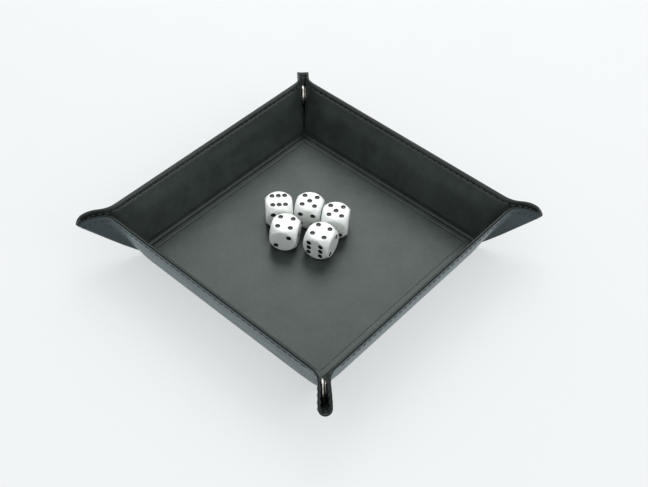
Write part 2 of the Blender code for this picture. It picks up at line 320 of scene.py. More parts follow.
def dice_finish():
    made, shader, place = finish_of("dice_plastic")
    paint = place.attribute("paint").between(0.3, 0.7)
    cloud = place.noise(160.0, 3.0, 0.5)
    scuffs = place.noise(1900.0, 4.0, 0.7).between(0.58, 0.8)
    white = cloud.colours((0.70, 0.72, 0.70), (0.77, 0.79, 0.77))
    shader.inputs["Coat Roughness"].default_value = 0.06
    shader.inputs["Subsurface Weight"].default_value = 0.6
    shader.inputs["Subsurface Radius"].default_value = (1.0, 1.0, 1.0)
    shader.inputs["Subsurface Scale"].default_value = 3.0 * MM
    feed(
        place,
        shader,
        Base_Color=paint.colours(white, (0.006, 0.006, 0.007)),
        Roughness=0.2 + scuffs * 0.2 + (cloud - 0.5) * 0.1,
        Coat_Weight=0.35 - paint * 0.15,
        Normal=scuffs.bump(0.04, 0.03 * MM),
    )
    return made


THREAD = thread_finish()
BOARD = board_finish()
NICKEL = nickel_finish()
DICE_PLASTIC = dice_finish()
print(len(bpy.data.materials), "materials")

# %% [markdown]
# ## From arrays to a closed shell
# A skin is two grids of points, its face and its back, joined all round. A maker could
# model one face and add a Solidify modifier, but here the thickness changes over the
# sheet, so both grids are worked out and joined.


# %% Mesh helpers
def grid_faces(rows, columns, first=0):
    """Quads of a grid whose points are numbered row by row from first."""
    across, along = np.meshgrid(np.arange(columns - 1), np.arange(rows - 1))
    corner = (along * columns + across + first).ravel()
    return np.stack([corner, corner + 1, corner + columns + 1, corner + columns], axis=1)


def outline(rows, columns):
    """Numbers of the grid's border points, once round."""
    grid = np.arange(rows * columns).reshape(rows, columns)
    return np.concatenate([grid[0], grid[1:, -1], grid[-1, -2::-1], grid[-2:0:-1, 0]])


SHARP_ANGLE = math.radians(50)


def piece_of(name, points, faces, finish, masks=None, weld=1e-6):
    """A smooth-shaded object at the origin; weld joins doubles, and faces turn outwards."""
    mesh = bpy.data.meshes.new(name)
    mesh.from_pydata(points.reshape(-1, 3).tolist(), [], faces)
    for mask, values in (masks or {}).items():
        layer = mesh.attributes.new(mask, "FLOAT", "POINT")
        layer.data.foreach_set("value", np.asarray(values, np.float32).ravel())
    form = bmesh.new()
    form.from_mesh(mesh)
    bmesh.ops.remove_doubles(form, verts=form.verts, dist=weld)
    bmesh.ops.dissolve_degenerate(form, edges=form.edges, dist=weld / 10)
    bmesh.ops.recalc_face_normals(form, faces=form.faces)
    form.to_mesh(mesh)
    form.free()
    mesh.polygons.foreach_set("use_smooth", np.ones(len(mesh.polygons), bool))
    mesh.set_sharp_from_angle(angle=SHARP_ANGLE)
    mesh.materials.append(finish)
    made = bpy.data.objects.new(name, mesh)
    bpy.context.scene.collection.objects.link(made)
    return made


def shell(name, face, back, finish, masks):
    """A closed skin: a face grid, a back grid turned over, and a strip round the border."""
    rows, columns = face.shape[:2]
    count = rows * columns
    quads = grid_faces(rows, columns)
    border = outline(rows, columns)
    after = np.roll(border, -1)
    strip = np.stack([border, border + count, after + count, after], axis=1)
    faces = np.concatenate([quads, quads[:, ::-1] + count, strip]).tolist()
    points = np.stack([face, back])
    doubled = {mask: np.stack([values, values]) for mask, values in masks.items()}
    return piece_of(name, points, faces, finish, doubled)


# %% [markdown]
# ## The stack's thickness over the sheet
# Boards stiffen the floor and the walls, and stop short of creases, rim and ears, so the
# skins sink there. At the floor's four corners everything pinches together. The rim is
# two rounded lips with a dark slot between them, and the row of stitches pulls both skins
# in. Each of these is a smooth step or a bell curve, and they simply add.


# %% Thickness
CHANNEL_DEPTH = 0.16 * MM
HOLE_DEPTH = 0.30 * MM
PINCH = 5.0 * MM  # from a floor corner to where the stack has nearly its full thickness


def rise(distance, low, high):
    """A smooth step: 0 at low, 1 at high."""
    part = np.clip((distance - low) / (high - low), 0.0, 1.0)
    return part * part * (3 - 2 * part)


def pinch(reach, length):
    """Near a floor corner the stack thins in step with the distance, then levels off."""
    part = reach / length
    return part / (1 + part**4) ** 0.25


def seam_dip(from_edge, along):
    """How far the thread pulls a skin in: a shallow channel, deeper at each needle hole."""
    channel = np.exp(-(((from_edge - STITCH_IN) / (0.8 * MM)) ** 2))
    spot = np.exp(-(((from_edge - STITCH_IN) / (0.7 * MM)) ** 2))
    hole = np.abs(np.cos(math.pi * along / STITCH_PITCH)) ** 5
    return CHANNEL_DEPTH * channel + HOLE_DEPTH * spot * hole


def edge_masks(from_edge, along):
    """How near the raw rim, and how deep in the seam, for the leatherette's shader; the seam
    mask is painted shade in the stitch channel and the needle holes.
    """
    return {
        "rim": 1 - rise(from_edge, 0.1 * MM, 0.9 * MM),
        "seam": seam_dip(from_edge, along) / (CHANNEL_DEPTH + HOLE_DEPTH),
    }


def lip(from_edge, length):
    """0 at the edge and 1 past the rounding, along a quarter of a nearly round ellipse."""
    part = 1 - np.clip(from_edge / length, 0.0, 1.0)
    return np.sqrt(1 - part**1.7)


def heights(stack, thin, from_edge, along, rounding, pull=1.0):
    """Face and back of a skin, as distances from the middle of the stack.

    Glue closes the rim, so the two skins' backs all but meet there. The cover is drawn
    further over the rim than the liner, so its rounding is longer.
    """
    dip = seam_dip(from_edge, along) * pull
    glued = 1 - rise(from_edge, 2.2 * MM, 4.0 * MM)
    face = stack * thin - dip
    back = (stack - SKIN) * thin * (1 - glued) + 0.04 * MM * glued
    back = np.minimum(back, face - 0.3 * SKIN * thin)
    middle = (face + back) / 2
    rounded = lip(from_edge, rounding)
    low = np.minimum(middle, 0.25 * MM) * (1 - rounded)
    return low + face * rounded, low + np.minimum(back, face) * rounded


def spread(start, end, step):
    """Evenly spaced values about a step apart."""
    return np.linspace(start, end, max(2, round((end - start) / step) + 1))


def gathered(*runs):
    """Joins runs of (start, end, step) into one rising list without repeats."""
    return np.unique(np.round(np.concatenate([spread(*run) for run in runs]), 8))


RIM_DEPTH = 7.2 * MM  # from the rim to the last of the crowded rows
RIM_ROWS = gathered(
    (0.0, 0.12 * MM, 0.03 * MM),
    (0.12 * MM, 0.48 * MM, 0.09 * MM),
    (0.48 * MM, 2.0 * MM, 0.38 * MM),
    (2.0 * MM, 4.4 * MM, 0.2 * MM),
    (4.4 * MM, RIM_DEPTH, 0.35 * MM),
)
print(len(RIM_ROWS), "rows at the rim")

# %% [markdown]
# ## Folding the flat sheet
# The floor is the sheet as it lies. A wall is the sheet turned up by its angle about the
# crease. The bend between them is an arc that meets both. All three take places on the
# flat sheet and a height off its middle, so one pattern runs over all of them.


# %% Places on floor, crease and wall
def quarter(points, turns):
    """Turns points about the tray's middle by quarter turns."""
    angle = turns * math.pi / 2
    cosine, sine = round(math.cos(angle)), round(math.sin(angle))
    spin = np.array([[cosine, -sine, 0], [sine, cosine, 0], [0, 0, 1.0]])
    return points @ spin.T


def on_wall(side, along, up, height):
    """A wall's plane leans out from its crease; height is measured towards the inside."""
    out = HALF + up * math.cos(OPEN) - height * math.sin(OPEN)
    level = MIDDLE + up * math.sin(OPEN) + height * math.cos(OPEN)
    return quarter(np.stack(np.broadcast_arrays(out, along, level), axis=-1), side)


def on_crease(side, along, turn, height):
    """The bend is an arc of the wall's angle, and turn goes from 0 at the floor to 1."""
    radius = CREASE / math.tan(OPEN / 2)
    angle = turn * OPEN
    out = HALF - CREASE + (radius - height) * np.sin(angle)
    level = MIDDLE + radius - (radius - height) * np.cos(angle)
    return quarter(np.stack(np.broadcast_arrays(out, along, level), axis=-1), side)


def wall_stack(along, up):
    """Half the wall's thickness: the edge's all round, swelling slowly over the board."""
    ends = HALF - np.abs(along)
    board = (
        rise(up, 1.9 * MM, 4.4 * MM)
        * rise(WALL - up, 4.0 * MM, 15.0 * MM)
        * rise(ends, 1.5 * MM, 13.0 * MM)
    )
    return EDGE_STACK + BOARD_LIFT * board


# %% [markdown]
# ## Walls
# A wall's liner and cover are the same surface, mirrored through the middle of the stack.
# The rows crowd at the rim, where the lips and the stitches are, and again at the crease.


# %% Wall skins
# name, side of the stack, finish, length of the rounding at the rim
SKINS = (("liner", 1, LINER, 1.3 * MM), ("cover", -1, COVER, 3.4 * MM))


def wall_skins(side):
    """Both skins of one wall, from the crease's bend up to the rim."""
    low_rows = gathered(
        (RIM_DEPTH, WALL - 5.0 * MM, 1.3 * MM),
        (WALL - 5.0 * MM, WALL - CREASE, 0.28 * MM),
    )
    from_edge = np.concatenate([RIM_ROWS, low_rows[1:]])[:, None]
    along = gathered(
        (-HALF, -HALF + 4.5 * MM, 0.4 * MM),
        (-HALF + 4.5 * MM, HALF - 4.5 * MM, 0.575 * MM),
        (HALF - 4.5 * MM, HALF, 0.4 * MM),
    )[None, :]
    from_edge, along = np.broadcast_arrays(from_edge, along)
    up = WALL - from_edge
    thin = pinch(np.hypot(HALF - np.abs(along), up), PINCH)
    masks = edge_masks(from_edge, along)
    for label, sign, finish, rounding in SKINS:
        face, back = heights(wall_stack(along, up), thin, from_edge, along, rounding)
        name = f"{WALLS[side]}_wall_{label}_skin"
        shapes = (on_wall(side, along, up, sign * level) for level in (face, back))
        skin = shell(name, *shapes, finish, masks)
        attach(skin, f"{WALLS[side]}_wall")
        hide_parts(f"{WALLS[side]}_wall_{label}")
        print(skin.name, len(skin.data.polygons), "faces")


for wall in range(4):
    wall_skins(wall)

# %% [markdown]
# ## Floor
# The floor's liner has two quiet marks that follow its outline: a fold line where the
# board ends, and a line of sewing 6 mm in, whose thread is so sunk that only the groove
# shows. Both are darkened with painted shade, as is a narrow band along each crease. The
# cover below is plain in shape, though it carries the same painted shade.


# %% Floor skins
GROOVE_IN = 6.0 * MM  # from a crease to the sunk line of sewing
GROOVE_DEPTH = 0.09 * MM
GROOVE_HOLES = 0.10 * MM
GROOVE_PITCH = 3.6 * MM


def floor_skins():
    """Both skins of the floor, inside the bends of the four creases."""
    edge = HALF - CREASE
    half_line = gathered(
        (0.0, edge - 8.0 * MM, 1.15 * MM),
        (edge - 8.0 * MM, edge, 0.26 * MM),
    )
    line = np.concatenate([-half_line[:0:-1], half_line])
    across, along = np.meshgrid(line, line)
    wide = np.maximum(np.abs(across), np.abs(along))
    inside = HALF - wide
    run = np.where(np.abs(across) > np.abs(along), along, across)
    board = rise(inside, 2.0 * MM, 3.3 * MM)
    groove = np.exp(-(((inside - GROOVE_IN) / (0.38 * MM)) ** 2))
    holes = np.abs(np.cos(math.pi * run / GROOVE_PITCH)) ** 8
    dip = groove * (GROOVE_DEPTH + GROOVE_HOLES * holes)
    reach = np.hypot(HALF - np.abs(across), HALF - np.abs(along))
    thin = pinch(reach, PINCH)
    face = (EDGE_STACK + BOARD_LIFT * board) * thin
    back = (EDGE_STACK - SKIN + BOARD_LIFT * board) * thin
    # Painted shade: a band along the crease, the line where the board's edge steps up, and the
    # sewn groove are darkened in colour.
    crease_shade = 1 - rise(inside, 1.9 * MM, 2.6 * MM)
    board_line_shade = 0.7 * np.exp(-(((inside - 2.2 * MM) / (0.3 * MM)) ** 2))
    masks = {"rim": crease_shade * 0.5, "seam": np.maximum(dip / (0.22 * MM), board_line_shade)}
    for label, sign, finish, _ in SKINS:
        sunk = dip if label == "liner" else 0.0
        shapes = (
            np.stack([across, along, MIDDLE + sign * (level - sunk)], axis=-1)
            for level in (face, back)
        )
        skin = shell(f"floor_{label}_skin", *shapes, finish, masks)
        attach(skin, "floor")
        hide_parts(f"floor_{label}")
        print(skin.name, len(skin.data.polygons), "faces")


floor_skins()

# %% [markdown]
# ## Creases
# Nothing stiffens the sheet along a crease, so it bends there. Each strip is built bent
# between the floor and its wall, flat near the floor and leaning like the wall near it; it
# is not joined to either body.


# %% Crease strips
def crease_strips(side):
    """Both skins of one crease, a little thinner than the skins that they slip under."""
    turn = np.linspace(-0.06, 1.06, 15)[:, None]
    along = gathered(
        (-HALF, -HALF + 4.0 * MM, 0.4 * MM),
        (-HALF + 4.0 * MM, HALF - 4.0 * MM, 3.0 * MM),
        (HALF - 4.0 * MM, HALF, 0.4 * MM),
    )[None, :]
    turn, along = np.broadcast_arrays(turn, along)
    across = np.abs(turn - 0.5) * 2 * CREASE
    thin = pinch(np.hypot(HALF - np.abs(along), across), PINCH)
    tuck = 0.05 * MM * rise(np.abs(turn - 0.5), 0.49, 0.53)
    face = EDGE_STACK * thin - tuck
    back = (EDGE_STACK - SKIN) * thin + tuck
    start = quarter(np.array([HALF - CREASE, 0, MIDDLE]), side)
    end = on_wall(side, 0.0, CREASE, 0.0)
    # Painted shade: the rim mask darkens the middle of the bend, and the wall line darkens a
    # stripe near the wall's foot.
    wall_line_shade = 0.85 * np.exp(-(((turn - 0.85) / 0.16) ** 2))
    masks = {"rim": 1 - np.abs(turn - 0.5) * 1.4, "seam": wall_line_shade}
    for label, sign, finish, _ in SKINS:
        shapes = (on_crease(side, along, turn, sign * level) for level in (face, back))
        strip = shell(f"{WALLS[side]}_crease_{label}", *shapes, finish, masks)
        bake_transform(strip)


for wall in range(4):
    crease_strips(wall)
print("4 creases")

# %% [markdown]
# ## The folded ears
# The corner square of the sheet has no board. Folded, it is part of a cone whose point is
# the floor's corner, so one walk gives its whole shape: take a line from the corner along
# the wall's end, and turn it step by step. It runs straight, bends away from the wall over
# 25 degrees, runs straight again, and turns a quarter round in the fold. The bend's start
# and size are the ones that bring the fold's last line into the middle of the ear.

# %% The walk round an ear
STEPS = 450
STEP = math.pi / 4 / STEPS
BEND_WIDTH = math.radians(25.0)
FOLD = math.radians(7.2)
FOLD_ANGLE = math.pi / 4 - FOLD
CORNER = np.array([HALF, HALF, MIDDLE])
ACROSS = np.array([1.0, -1.0, 0.0]) / math.sqrt(2)


def spin_about(axis, angle):
    """The matrix that turns by an angle about a unit axis."""
    x, y, z = axis
    cross = np.array([[0, -z, y], [z, 0, -x], [-y, x, 0]])
    return np.eye(3) + math.sin(angle) * cross + (1 - math.cos(angle)) * cross @ cross


def ear_walk(bend_start, bend_turn):
    """One frame a step: the line's direction, the way round, and the inner normal."""
    line = np.array([math.cos(OPEN), 0.0, math.sin(OPEN)])
    round_way = np.array([0.0, 1.0, 0.0])
    frames = [np.array([line, round_way, np.cross(line, round_way)])]
    for index in range(STEPS):
        angle = (index + 0.5) * STEP
        bend = 0.0
        part = (angle - bend_start) / BEND_WIDTH
        if 0 < part < 1:
            bend = bend_turn / BEND_WIDTH * (1 - math.cos(2 * math.pi * part))
        if angle > FOLD_ANGLE:
            bend = math.pi / 2 / FOLD
        line, _, normal = frames[-1]
        axis = normal + bend * line
        size = np.linalg.norm(axis)
        frames.append(frames[-1] @ spin_about(axis / size, size * STEP).T)
    return np.array(frames)


def closed_walk():
    """Newton's method on the bend's start and turn.

    The last line has to lie in the ear's middle plane, and the sheet has to cross it
    squarely, so that the other half of the ear can be its mirror image.
    """
    guess = np.array([math.radians(1.5), -0.9])

    def misses(values):
        line, round_way, _ = ear_walk(*values)[-1]
        return np.array([line @ ACROSS, round_way @ np.cross(line, ACROSS)])

    for _ in range(6):
        missed = misses(guess)
        nudges = np.eye(2) * 1e-4
        slopes = np.stack([(misses(guess + nudge) - missed) / 1e-4 for nudge in nudges], axis=1)
        guess = guess - np.linalg.solve(slopes, missed)
    print("the bend starts at", np.degrees(guess[0]), "and turns", np.degrees(guess[1]))
    return ear_walk(*guess)


FRAMES = closed_walk()
print("the fold ends", math.degrees(math.asin(FRAMES[-1, 0, 2])), "degrees up")


def on_ear(corner, half, spots, height):
    """Places flat spots (x, y) of the corner square, and a height, on the folded ear."""
    reach = np.hypot(spots[..., 0], spots[..., 1])
    angle = np.arctan2(spots[..., 1], spots[..., 0])
    step = np.clip(angle / STEP, 0, STEPS)
    low = np.minimum(step.astype(int), STEPS - 1)
    part = (step - low)[..., None]
    line = FRAMES[low, 0] * (1 - part) + FRAMES[low + 1, 0] * part
    normal = FRAMES[low, 2] * (1 - part) + FRAMES[low + 1, 2] * part
    points = reach[..., None] * line + np.asarray(height)[..., None] * normal
    if half == "b":
        points = points[..., (1, 0, 2)]
    return quarter(points + CORNER, corner)


# %% [markdown]
# ## The sheet's edge round an ear
# In the flat, the edge runs straight from the end of the wall, then round the sheet's
# corner. Its even steps carry the columns of the surface, and everything near the rim is
# measured square to it: the lips, the stitch line, the stitches.

# %% The edge in the flat
STRAIGHT = WALL - SHEET_CORNER
HALF_EDGE = STRAIGHT + SHEET_CORNER * math.pi / 4


def edge_spot(travel, inward):
    """The flat spot at a distance along the edge from the wall's end, and so far inside."""
    bent = np.clip(travel - STRAIGHT, 0.0, None) / SHEET_CORNER
    radius = SHEET_CORNER - inward
    straight = np.minimum(travel, STRAIGHT)
    x = STRAIGHT + radius * np.cos(bent)
    y = straight + radius * np.sin(bent)
    return np.stack(np.broadcast_arrays(x, y), axis=-1)


def travel_at(angle):
    """How far along the edge the ray at this angle from the wall's end meets it."""
    travels = np.linspace(0, HALF_EDGE, 2000)
    spots = edge_spot(travels, 0.0)
    return float(np.interp(angle, np.arctan2(spots[:, 1], spots[:, 0]), travels))


FOLD_TRAVEL = travel_at(FOLD_ANGLE)
print(f"an ear's edge is {2 * HALF_EDGE / MM:.1f} mm long")


def ear_grid(travel):
    """Flat spots under each column: square to the edge at first, then straight to the corner.

    Each spot comes back with its distance from the edge, which is as good as square to it.
    """
    inward = RIM_ROWS[:, None]
    rim = edge_spot(travel[None, :], inward)
    fade = 1 - np.concatenate([spread(0.0, 0.6, 0.06)[1:], spread(0.6, 0.972, 0.031)[1:]])
    inner = rim[-1][None] * fade[:, None, None]
    spots = np.concatenate([rim, inner])
    gone = np.linalg.norm(rim[-1][None] - inner, axis=-1) + RIM_DEPTH
    from_edge = np.concatenate([np.broadcast_to(inward, rim.shape[:2]), gone])
    return spots, from_edge


# %% [markdown]
# ## Ear skins
# An ear half bends away from its wall close to the wall's end. A fold half goes on round
# the fold towards its own body, which lies in the ear's middle. For each piece the two
# bodies it lies between and two places on the way are worked out, but the skins and the
# stitches are built where they stand and are not blended between those bodies.


# %% Where an ear's pieces would blend
EAR_BLEND = (0.04, 0.20)  # the angles of the two places where crossing puts the turn from the wall to the ear
EAR_BLEND_REACH = 33.0 * MM
FOLD_BLEND_REACH = 38.0 * MM
FOLD_BLEND_SHARE = 0.62  # of the way across the fold


def unit(angle):
    """The flat direction at an angle from the wall's end."""
    return np.array([math.cos(angle), math.sin(angle)])


def crossing(corner, half, on_fold):
    """The two bodies that a piece of an ear joins, and where it starts and stops turning."""
    ear_body = f"{CORNERS[corner]}_ear_{half}"
    if on_fold:
        start, end = (
            on_ear(corner, half, FOLD_BLEND_REACH * unit(angle), 0.0)
            for angle in (FOLD_ANGLE, math.pi / 4)
        )
        end = start + (end - start) * FOLD_BLEND_SHARE
        return ear_body, f"{CORNERS[corner]}_fold_{half}", tuple(start), tuple(end)
    wall_side = corner if half == "a" else (corner + 1) % 4
    start, end = (
        on_ear(corner, half, EAR_BLEND_REACH * unit(angle), 0.0) for angle in EAR_BLEND
    )
    return f"{WALLS[wall_side]}_wall", ear_body, tuple(start), tuple(end)


# %% [markdown]
# Both skins of both halves of all four ears are one function. Each half has a piece beside
# the wall and one round the fold, which meet on the line where the fold starts.

# %% Ear and fold skins
EAR_PULL = 0.6  # the thread pulls less where the skins are pressed together


def ear_skins(corner, half):
    """The four skins of one half of an ear: two beside the wall, two round the fold."""
    label = f"{CORNERS[corner]}_ear"
    parts = (
        ("", spread(0, FOLD_TRAVEL, 0.6 * MM)),
        ("fold_", spread(FOLD_TRAVEL, HALF_EDGE, 0.38 * MM)),
    )
    for part, travel in parts:
        first, second, start, end = crossing(corner, half, bool(part))
        spots, from_edge = ear_grid(travel)
        reach = np.linalg.norm(spots, axis=-1)
        angle = np.arctan2(spots[..., 1], spots[..., 0])
        thin = pinch(reach, PINCH + 8.0 * MM * angle / (math.pi / 4))
        along = HALF + np.broadcast_to(travel[None, :], from_edge.shape)
        stack = EDGE_STACK - EAR_THINNING * rise(angle, 0.0, 0.2)
        masks = edge_masks(from_edge, along)
        for side, sign, finish, rounding in SKINS:
            face, back = heights(stack, thin, from_edge, along, rounding, EAR_PULL)
            name = f"{label}_{part}{side}_skin_{half}"
            shapes = (on_ear(corner, half, spots, sign * level) for level in (face, back))
            skin = shell(name, *shapes, finish, masks)
            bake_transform(skin)
            if not part:
                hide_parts(f"{label}_{side}_{half}")
            elif side == "cover":
                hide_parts(f"{label}_fold_{half}")


for number in range(4):
    for letter in "ab":
        ear_skins(number, letter)
print("8 ear halves")

# %% [markdown]
# ## Stitches
# A sewing machine leaves a short bar of thread between each two needle holes. One bar is
# a tube along the stitch line that rises from one hole and sinks into the next. A row of
# bars is worked out as one array: which bar, where along it, and where round it.

# %% Stitches
THREAD_RADIUS = 0.24 * MM
BAR = 0.74  # of the pitch, the rest is the hole
ALONG_STEPS = 9
ROUND_STEPS = 8
SUNK = 0.02 * MM  # how far a bar's middle lies under the height asked for
SINK = 0.30 * MM  # how much deeper its ends go
WALL_LIFT = {"liner": 0.06 * MM, "cover": 0.14 * MM}  # over the edge's stack


def stitch_row(name, centres, place, lift):
    """A row of bars. place(travel, height) gives points; lift is the skin's height there.

    Each point is the bar's middle line plus a circle in the plane across it: the width
    follows half a sine from end to end, and the middle line sinks at both ends.
    """
    part = np.linspace(-1, 1, ALONG_STEPS)[None, :]
    travel = centres[:, None] + part * BAR * STITCH_PITCH / 2
    sink = -SUNK - SINK * part**4
    middle = place(travel, lift + sink)
    normal = place(travel, lift + sink + 0.1 * MM) - middle
    normal /= np.linalg.norm(normal, axis=-1, keepdims=True)
    ahead = np.gradient(middle, axis=1)
    side = np.cross(ahead, normal)
    side /= np.linalg.norm(side, axis=-1, keepdims=True)
    width = THREAD_RADIUS * np.sqrt(1.02 - part**4)[..., None, None]
    turn = np.linspace(0, 2 * math.pi, ROUND_STEPS, endpoint=False)[:, None]
    ring = np.cos(turn) * side[:, :, None] + np.sin(turn) * normal[:, :, None]
    points = middle[:, :, None] + width * ring
    bars, lines, around = points.shape[:3]
    first = (np.arange(bars) * lines * around)[:, None, None]
    row = np.arange(lines - 1)[None, :, None] * around
    here = np.arange(around)[None, None, :]
    after = (here + 1) % around
    quads = np.stack(
        np.broadcast_arrays(
            first + row + here,
            first + row + after,
            first + row + around + after,
            first + row + around + here,
        ),
        axis=-1,
    ).reshape(-1, 4)
    ends = first[:, 0] + np.arange(around)[None, :]
    caps = np.concatenate([ends[:, ::-1], ends + (lines - 1) * around])
    twist = part[..., None] * 2.2 + (turn.ravel() / (2 * math.pi))[None, None, :]
    twist = np.broadcast_to(twist + 4.0, points.shape[:3])
    faces = quads.tolist() + caps.tolist()
    return piece_of(name, points, faces, THREAD, {"twist": twist}, weld=1e-8)


# %% [markdown]
# Holes fall where the cosine in the seam's dip is at its strongest, at whole pitches from
# the wall's middle, so a bar's middle is half a pitch further on.


# %% Sew the walls and ears
def sewn_wall(side):
    """Both rows of one wall, as many whole bars as fit between its ends."""
    count = int(HALF // STITCH_PITCH)
    centres = (np.arange(-count, count) + 0.5) * STITCH_PITCH
    for label, sign, _, _ in SKINS:
        lift = EDGE_STACK + WALL_LIFT[label]

        def place(travel, height, sign=sign):
            return on_wall(side, travel, WALL - STITCH_IN, sign * height)

        row = stitch_row(f"{WALLS[side]}_wall_{label}_stitches", centres, place, lift)
        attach(row, f"{WALLS[side]}_wall")


def sewn_ear(corner, half):
    """Stitches go on round the ear from the wall's end to the middle of the fold."""
    begin = int(HALF // STITCH_PITCH)
    count = int((HALF + HALF_EDGE) // STITCH_PITCH)
    centres = (np.arange(begin, count + 1) + 0.5) * STITCH_PITCH - HALF
    centres = centres[centres + BAR * STITCH_PITCH / 2 < HALF_EDGE]
    on_fold = centres > FOLD_TRAVEL
    label = f"{CORNERS[corner]}_ear"
    for part, rows in (("", centres[~on_fold]), ("fold_", centres[on_fold])):
        if not len(rows):
            continue
        first, second, start, end = crossing(corner, half, bool(part))
        for side, sign, _, _ in SKINS:

            def place(travel, height, sign=sign):
                spots = edge_spot(travel, STITCH_IN)
                before = travel < 0
                spots[..., 1] = np.where(before, 0.0, spots[..., 1])
                return on_ear(corner, half, spots, sign * height)

            name = f"{label}_{part}{side}_stitches_{half}"
            row = stitch_row(name, rows, place, EDGE_STACK - EAR_THINNING)
            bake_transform(row)


for number in range(4):
    sewn_wall(number)
    for letter in "ab":
        sewn_ear(number, letter)
print("stitches sewn")

# %% [markdown]
# ## Press studs
# A socket on one half of each ear snaps over a stud on the other. Both are turned from
# metal, so each is an outline spun round its axis. The outlines are drawn with a few
# points, their corners are cut by short curves, and they close at the axis. Each begins
# with its rivet, whose flange is hidden between the liner and the cover.

# %% Press studs
STUD_REACH = 26.0 * MM
STUD_ANGLE = math.radians(25.0)
SOCKET_HALVES = "abaa"
SPIN_STEPS = 64
STUD_ROOM = 0.75  # mm between the socket's top and the other half's liner
OUTLINE_ROUNDING = 0.16  # mm


def rounded(points, radius):
    """Cuts each corner of an outline with a quarter-like curve of three points."""
    points = np.asarray(points, float)
    before = points[:-2] - points[1:-1]
    after = points[2:] - points[1:-1]
    short = np.minimum(np.linalg.norm(before, axis=1), np.linalg.norm(after, axis=1)) / 2
    cut = np.minimum(short, radius)[:, None]
    first = points[1:-1] + before / np.linalg.norm(before, axis=1)[:, None] * cut
    last = points[1:-1] + after / np.linalg.norm(after, axis=1)[:, None] * cut
    middle = (first + last + 2 * points[1:-1]) / 4
    curve = np.stack([first, middle, last], axis=1).reshape(-1, 2)
    return np.concatenate([points[:1], curve, points[-1:]])


def turned(name, profile, place, axis, finish):
    """An outline of (radius, height) spun round an axis through a place."""
    helper = np.array([0.0, 0.0, 1.0])
    right = np.cross(helper, axis)
    right /= np.linalg.norm(right)
    ahead = np.cross(axis, right)
    angle = np.linspace(0, 2 * math.pi, SPIN_STEPS, endpoint=False)[None, :, None]
    ring = np.cos(angle) * right + np.sin(angle) * ahead
    points = place + profile[:, None, :1] * ring + profile[:, None, 1:] * axis
    rows = len(profile)
    here = np.arange(SPIN_STEPS)
    after = (here + 1) % SPIN_STEPS
    row = (np.arange(rows - 1) * SPIN_STEPS)[:, None]
    faces = np.stack(
        [row + here, row + after, row + SPIN_STEPS + after, row + SPIN_STEPS + here], axis=-1
    ).reshape(-1, 4)
    return piece_of(name, points, faces.tolist(), finish)


def press_stud(corner):
    """The socket and the stud of one ear, face to face across the ear's middle."""
    line, _, normal = FRAMES[round(STUD_ANGLE / STEP)]
    aside = STUD_REACH * (line @ ACROSS)
    middle = STUD_REACH * line - aside * ACROSS
    lean = math.acos(-normal @ ACROSS)
    face = aside - (EDGE_STACK - EAR_THINNING) / math.cos(lean)
    room = 2 * face / MM
    top = room - STUD_ROOM
    rivet = [(0, -0.85), (3.4, -0.85), (3.4, -0.7), (1.0, -0.7), (1.0, 0.05)]
    socket = np.array(
        rivet
        + [(4.9, 0.05), (5.5, 0.3), (5.6, 0.7), (5.5, top - 0.5), (5.1, top - 0.1)]
        + [(4.4, top), (2.9, top), (2.5, top - 0.25), (2.4, 0.7), (0, 0.6)]
    )
    stud = np.array(
        rivet
        + [(4.1, 0.05), (4.5, 0.2), (4.5, 0.4), (4.1, 0.55), (2.2, 0.55)]
        + [(1.65, 0.8), (1.9, 1.2), (1.7, 1.45), (0, 1.5)]
    )
    for half in "ab":
        holds_socket = half == SOCKET_HALVES[corner]
        outward = ACROSS if half == "a" else -ACROSS
        spot = middle if half == "a" else middle[[1, 0, 2]]
        place = quarter(CORNER + spot + face * outward, corner)
        axis = quarter(-outward, corner)
        label = "socket" if holds_socket else "stud"
        profile = rounded(socket if holds_socket else stud, OUTLINE_ROUNDING) * MM
        piece = turned(f"{CORNERS[corner]}_press_{label}", profile, place, axis, NICKEL)
        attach(piece, f"{CORNERS[corner]}_ear_{half}")
        hidden = "cap" if holds_socket else "post"
        nodes = (f"{CORNERS[corner]}_snap_{kind}" for kind in (label, hidden))
        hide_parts(*nodes)


for number in range(4):
    press_stud(number)
print("4 press studs")

# %% [markdown]
# ## Dice
# These dice are cubes turned inside a ball: each face ends in a circle, and the corners
# are parts of the ball. Each ray from the middle meets the cube at one distance and the
# ball at another, and the smaller one wins; a soft minimum eases the edge between them.
# The pips are shallow bowls, cut by lowering the face to a sphere.

# %% Dice
DIE = 16.0 * MM
DIE_BALL = 10.8 * MM
DIE_EASE = 0.22 * MM  # how far the edges between faces and ball are eased
PIP_PITCH = 3.7 * MM
PIP_RADIUS = 1.5 * MM
PIP_DEPTH = 0.55 * MM
FACE_STEPS = 112
SIX_FACES = {
    1: ((0, 1, 0), ((0, 0),)),
    2: ((1, 0, 0), ((-1, -1), (1, 1))),
    3: ((0, 0, -1), ((1, -1), (0, 0), (-1, 1))),
    4: ((0, 0, 1), ((-1, -1), (-1, 1), (1, -1), (1, 1))),
    5: ((-1, 0, 0), ((-1, -1), (-1, 1), (0, 0), (1, -1), (1, 1))),
    6: ((0, -1, 0), tuple((across, along) for across in (-1, 1) for along in (-1, 0, 1))),
}
# name, turn in degrees, face on top, face in front
THROWN = (
    ("die_back_left", 47.0, 6, 2),
    ("die_back_middle", 29.4, 5, 4),
    ("die_back_right", 33.3, 5, 3),
    ("die_front_left", 30.2, 4, 2),
    ("die_front_right", 14.5, 4, 6),
)


